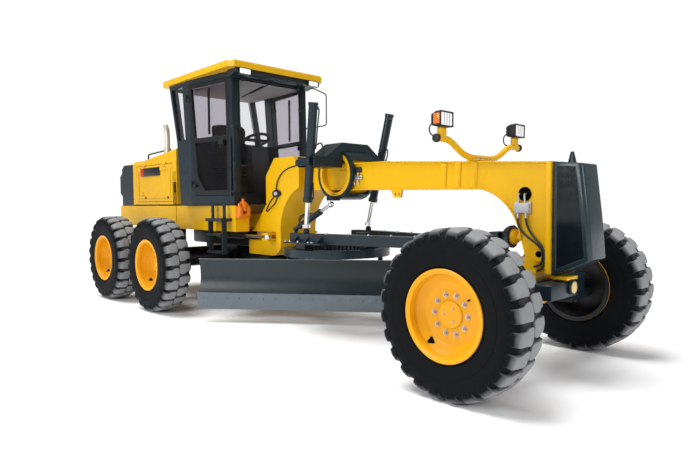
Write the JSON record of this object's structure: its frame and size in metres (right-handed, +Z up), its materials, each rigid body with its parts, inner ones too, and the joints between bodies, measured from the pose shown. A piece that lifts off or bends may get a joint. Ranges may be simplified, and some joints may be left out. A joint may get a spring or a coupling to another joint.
{
  "type": "motor grader",
  "caption": "Articulated motor grader: cab and engine on a tandem rear frame, gooseneck front frame, leaning front wheels, drawbar, turning circle and long angled blade.",
  "frame": {"origin": "on the ground under the middle of the overall length, on the centre line", "axes": "+X forward, +Y to the driver's left, +Z up"},
  "size_m": [8.03, 2.5242, 3.2003],
  "materials": {
    "body_yellow": "gloss yellow paint",
    "wheel_yellow": "gloss yellow paint",
    "slate_grey": "satin dark slate paint",
    "tyre_rubber": "black tyre rubber",
    "cab_glass": "tinted safety glass",
    "rod_chrome": "hard chrome",
    "edge_steel": "worn steel",
    "seat_black": "black trim",
    "lamp_black": "black lamp housing",
    "engine_grey": "painted iron"
  },
  "bodies": {
    "rear_machine": {"rear_frame": "body_yellow", "engine_block": "engine_grey", "hood_shell": "body_yellow", "radiator_guard": "slate_grey", "exhaust_stack": "slate_grey", "cab_frame": "slate_grey", "cab_glass": "cab_glass", "cab_roof": "body_yellow", "cab_seat_and_console": "seat_black", "cab_steps": "slate_grey"},
    "front_frame": {"front_frame": "body_yellow", "saddle": "slate_grey", "nose_cover": "slate_grey", "lamp_bracket": "body_yellow", "head_lamps": "lamp_black"},
    "tandem_left": {"tandem_case_left": "slate_grey"},
    "wheel_middle_left": {"tyre_middle_left": "tyre_rubber", "rim_middle_left": "wheel_yellow"},
    "wheel_rear_left": {"tyre_rear_left": "tyre_rubber", "rim_rear_left": "wheel_yellow"},
    "cab_door_left": {"cab_door_left": "slate_grey", "door_glass_left": "cab_glass"},
    "hood_door_left": {"hood_door_left": "body_yellow"},
    "tandem_right": {"tandem_case_right": "slate_grey"},
    "wheel_middle_right": {"tyre_middle_right": "tyre_rubber", "rim_middle_right": "wheel_yellow"},
    "wheel_rear_right": {"tyre_rear_right": "tyre_rubber", "rim_rear_right": "wheel_yellow"},
    "cab_door_right": {"cab_door_right": "slate_grey", "door_glass_right": "cab_glass"},
    "hood_door_right": {"hood_door_right": "body_yellow"},
    "front_axle": {"front_axle": "slate_grey"},
    "lean_bracket_left": {"lean_bracket_left": "slate_grey"},
    "knuckle_left": {"knuckle_left": "slate_grey"},
    "wheel_front_left": {"tyre_front_left": "tyre_rubber", "rim_front_left": "wheel_yellow"},
    "lean_bracket_right": {"lean_bracket_right": "slate_grey"},
    "knuckle_right": {"knuckle_right": "slate_grey"},
    "wheel_front_right": {"tyre_front_right": "tyre_rubber", "rim_front_right": "wheel_yellow"},
    "tie_rod": {"tie_rod": "slate_grey"},
    "lean_rod": {"lean_rod": "slate_grey"},
    "drawbar_socket": {"drawbar_socket": "slate_grey"},
    "drawbar": {"drawbar": "slate_grey"},
    "circle": {"circle": "slate_grey"},
    "blade_carrier": {"blade_carrier": "slate_grey"},
    "blade": {"blade": "slate_grey", "cutting_edge": "edge_steel"},
    "lift_yoke_left": {"lift_yoke_left": "slate_grey"},
    "lift_barrel_left": {"lift_barrel_left": "slate_grey"},
    "lift_rod_left": {"lift_rod_left": "rod_chrome"},
    "lift_yoke_right": {"lift_yoke_right": "slate_grey"},
    "lift_barrel_right": {"lift_barrel_right": "slate_grey"},
    "lift_rod_right": {"lift_rod_right": "rod_chrome"},
    "articulation_barrel_left": {"articulation_barrel_left": "slate_grey"},
    "articulation_rod_left": {"articulation_rod_left": "rod_chrome"},
    "articulation_barrel_right": {"articulation_barrel_right": "slate_grey"},
    "articulation_rod_right": {"articulation_rod_right": "rod_chrome"},
    "shift_barrel": {"shift_barrel": "slate_grey"},
    "shift_rod": {"shift_rod": "rod_chrome"}
  },
  "joints": [
    {"name": "articulation", "type": "hinge", "parent": "rear_machine", "child": "front_frame", "pos_m": [-0.34, 0, 1.23], "axis": [0, 0, 1], "range_deg": [-25, 25]},
    {"name": "tandem_left", "type": "hinge", "parent": "rear_machine", "child": "tandem_left", "pos_m": [-2.34, 0.745, 0.635], "axis": [0, 1, 0], "range_deg": [-15, 15]},
    {"name": "roll_middle_left", "type": "hinge", "parent": "tandem_left", "child": "wheel_middle_left", "pos_m": [-1.57, 1.05, 0.635], "axis": [0, 1, 0], "continuous": true},
    {"name": "roll_rear_left", "type": "hinge", "parent": "tandem_left", "child": "wheel_rear_left", "pos_m": [-3.11, 1.05, 0.635], "axis": [0, 1, 0], "continuous": true},
    {"name": "tandem_right", "type": "hinge", "parent": "rear_machine", "child": "tandem_right", "pos_m": [-2.34, -0.745, 0.635], "axis": [0, 1, 0], "range_deg": [-15, 15]},
    {"name": "roll_middle_right", "type": "hinge", "parent": "tandem_right", "child": "wheel_middle_right", "pos_m": [-1.57, -1.05, 0.635], "axis": [0, 1, 0], "continuous": true},
    {"name": "roll_rear_right", "type": "hinge", "parent": "tandem_right", "child": "wheel_rear_right", "pos_m": [-3.11, -1.05, 0.635], "axis": [0, 1, 0], "continuous": true},
    {"name": "cab_door_left_hinge", "type": "hinge", "parent": "rear_machine", "child": "cab_door_left", "pos_m": [-1.196, 0.72, 1.56], "axis": [-0.0975, 0, 0.9952], "range_deg": [0, 90]},
    {"name": "hood_door_left_hinge", "type": "hinge", "parent": "rear_machine", "child": "hood_door_left", "pos_m": [-2.64, 0.611, 2.062], "axis": [1, 0, 0], "range_deg": [0, 80]},
    {"name": "cab_door_right_hinge", "type": "hinge", "parent": "rear_machine", "child": "cab_door_right", "pos_m": [-1.196, -0.72, 1.56], "axis": [-0.0975, 0, 0.9952], "range_deg": [-90, 0]},
    {"name": "hood_door_right_hinge", "type": "hinge", "parent": "rear_machine", "child": "hood_door_right", "pos_m": [-2.64, -0.611, 2.062], "axis": [1, 0, 0], "range_deg": [-80, 0]},
    {"name": "axle_swing", "type": "hinge", "parent": "front_frame", "child": "front_axle", "pos_m": [3.38, 0, 0.7], "axis": [1, 0, 0], "range_deg": [-15, 15]},
    {"name": "lean_left", "type": "hinge", "parent": "front_axle", "child": "lean_bracket_left", "pos_m": [3.38, 0.64, 0.6], "axis": [-1, 0, 0], "range_deg": [-17, 17]},
    {"name": "steer_left", "type": "hinge", "parent": "lean_bracket_left", "child": "knuckle_left", "pos_m": [3.38, 0.89, 0.635], "axis": [0, 0, 1], "range_deg": [-45, 45]},
    {"name": "roll_front_left", "type": "hinge", "parent": "knuckle_left", "child": "wheel_front_left", "pos_m": [3.38, 1.05, 0.635], "axis": [0, 1, 0], "continuous": true},
    {"name": "lean_right", "type": "hinge", "parent": "front_axle", "child": "lean_bracket_right", "pos_m": [3.38, -0.64, 0.6], "axis": [-1, 0, 0], "range_deg": [-17, 17]},
    {"name": "steer_right", "type": "hinge", "parent": "lean_bracket_right", "child": "knuckle_right", "pos_m": [3.38, -0.89, 0.635], "axis": [0, 0, 1], "range_deg": [-45, 45]},
    {"name": "roll_front_right", "type": "hinge", "parent": "knuckle_right", "child": "wheel_front_right", "pos_m": [3.38, -1.05, 0.635], "axis": [0, 1, 0], "continuous": true},
    {"name": "tie_rod_slide", "type": "slide", "parent": "front_axle", "child": "tie_rod", "axis": [0, 1, 0], "range_m": [-0.19, 0.19]},
    {"name": "lean_rod_slide", "type": "slide", "parent": "front_axle", "child": "lean_rod", "axis": [0, 1, 0], "range_m": [-0.07, 0.07]},
    {"name": "drawbar_swing", "type": "hinge", "parent": "front_frame", "child": "drawbar_socket", "pos_m": [3.23, 0, 1.15], "axis": [0, 0, 1], "range_deg": [-8, 8]},
    {"name": "blade_lift", "type": "hinge", "parent": "drawbar_socket", "child": "drawbar", "pos_m": [3.23, 0, 1.15], "axis": [0, 1, 0], "range_deg": [-11, 5]},
    {"name": "circle_turn", "type": "hinge", "parent": "drawbar", "child": "circle", "pos_m": [0.913, 0, 0.895], "axis": [0, 0, 1], "continuous": true},
    {"name": "blade_tip", "type": "hinge", "parent": "circle", "child": "blade_carrier", "pos_m": [0.71515, 0.25784, 0.44], "axis": [0.7934, 0.6088, 0], "range_deg": [-5, 35]},
    {"name": "blade_shift", "type": "slide", "parent": "blade_carrier", "child": "blade", "axis": [-0.7934, -0.6088, 0], "range_m": [-0.57, 0.45]},
    {"name": "lift_yoke_left_turn", "type": "hinge", "parent": "front_frame", "child": "lift_yoke_left", "pos_m": [1.08971, 0.5439, 1.89936], "axis": [1, 0, 0], "range_deg": [-26, 26]},
    {"name": "lift_barrel_left_turn", "type": "hinge", "parent": "lift_yoke_left", "child": "lift_barrel_left", "pos_m": [1.08971, 0.5439, 1.89936], "axis": [0, 1, 0], "range_deg": [-8, 8]},
    {"name": "lift_rod_left_slide", "type": "slide", "parent": "lift_barrel_left", "child": "lift_rod_left", "axis": [-0.1964, -0.0766, -0.9775], "range_m": [-0.23, 0.47]},
    {"name": "lift_yoke_right_turn", "type": "hinge", "parent": "front_frame", "child": "lift_yoke_right", "pos_m": [1.08971, -0.5439, 1.89936], "axis": [1, 0, 0], "range_deg": [-26, 26]},
    {"name": "lift_barrel_right_turn", "type": "hinge", "parent": "lift_yoke_right", "child": "lift_barrel_right", "pos_m": [1.08971, -0.5439, 1.89936], "axis": [0, 1, 0], "range_deg": [-8, 8]},
    {"name": "lift_rod_right_slide", "type": "slide", "parent": "lift_barrel_right", "child": "lift_rod_right", "axis": [-0.1964, 0.0766, -0.9775], "range_m": [-0.23, 0.47]},
    {"name": "articulation_barrel_left_turn", "type": "hinge", "parent": "rear_machine", "child": "articulation_barrel_left", "pos_m": [-1.15, 0.43, 1.04], "axis": [0, 0, 1], "range_deg": [-10, 10]},
    {"name": "articulation_rod_left_slide", "type": "slide", "parent": "articulation_barrel_left", "child": "articulation_rod_left", "axis": [0.9977, -0.0682, 0], "range_m": [-0.2, 0.2]},
    {"name": "articulation_barrel_right_turn", "type": "hinge", "parent": "rear_machine", "child": "articulation_barrel_right", "pos_m": [-1.15, -0.43, 1.04], "axis": [0, 0, 1], "range_deg": [-10, 10]},
    {"name": "articulation_rod_right_slide", "type": "slide", "parent": "articulation_barrel_right", "child": "articulation_rod_right", "axis": [0.9977, 0.0682, 0], "range_m": [-0.2, 0.2]},
    {"name": "shift_barrel_turn", "type": "hinge", "parent": "drawbar", "child": "shift_barrel", "pos_m": [0.61, -0.37, 1.155], "axis": [-0.264, 0.9645, 0], "range_deg": [-44, 21]},
    {"name": "shift_rod_slide", "type": "slide", "parent": "shift_barrel", "child": "shift_rod", "axis": [0.8348, 0.2285, 0.5009], "range_m": [-0.08, 0.16]}
  ],
  "couplings": [
    {"joint": "lean_right", "follows": "lean_left", "ratio": 1},
    {"joint": "steer_right", "follows": "steer_left", "ratio": 1},
    {"joint": "tie_rod_slide", "follows": "steer_left", "m_per_rad": -0.22918},
    {"joint": "lean_rod_slide", "follows": "lean_left", "m_per_rad": 0.19211},
    {"joint": "lift_yoke_left_turn", "follows": "drawbar_swing", "ratio": -3.1},
    {"joint": "lift_barrel_left_turn", "follows": "blade_lift", "ratio": 0.57},
    {"joint": "lift_rod_left_slide", "follows": "blade_lift", "m_per_rad": -2.22},
    {"joint": "lift_yoke_right_turn", "follows": "drawbar_swing", "ratio": -3.1},
    {"joint": "lift_barrel_right_turn", "follows": "blade_lift", "ratio": 0.57},
    {"joint": "lift_rod_right_slide", "follows": "blade_lift", "m_per_rad": -2.22},
    {"joint": "articulation_barrel_left_turn", "follows": "articulation", "ratio": 0.278},
    {"joint": "articulation_rod_left_slide", "follows": "articulation", "m_per_rad": -0.36898},
    {"joint": "articulation_barrel_right_turn", "follows": "articulation", "ratio": 0.278},
    {"joint": "articulation_rod_right_slide", "follows": "articulation", "m_per_rad": 0.36898},
    {"joint": "shift_barrel_turn", "follows": "blade_lift", "ratio": 3.7},
    {"joint": "shift_rod_slide", "follows": "blade_lift", "m_per_rad": -0.8021}
  ]
}
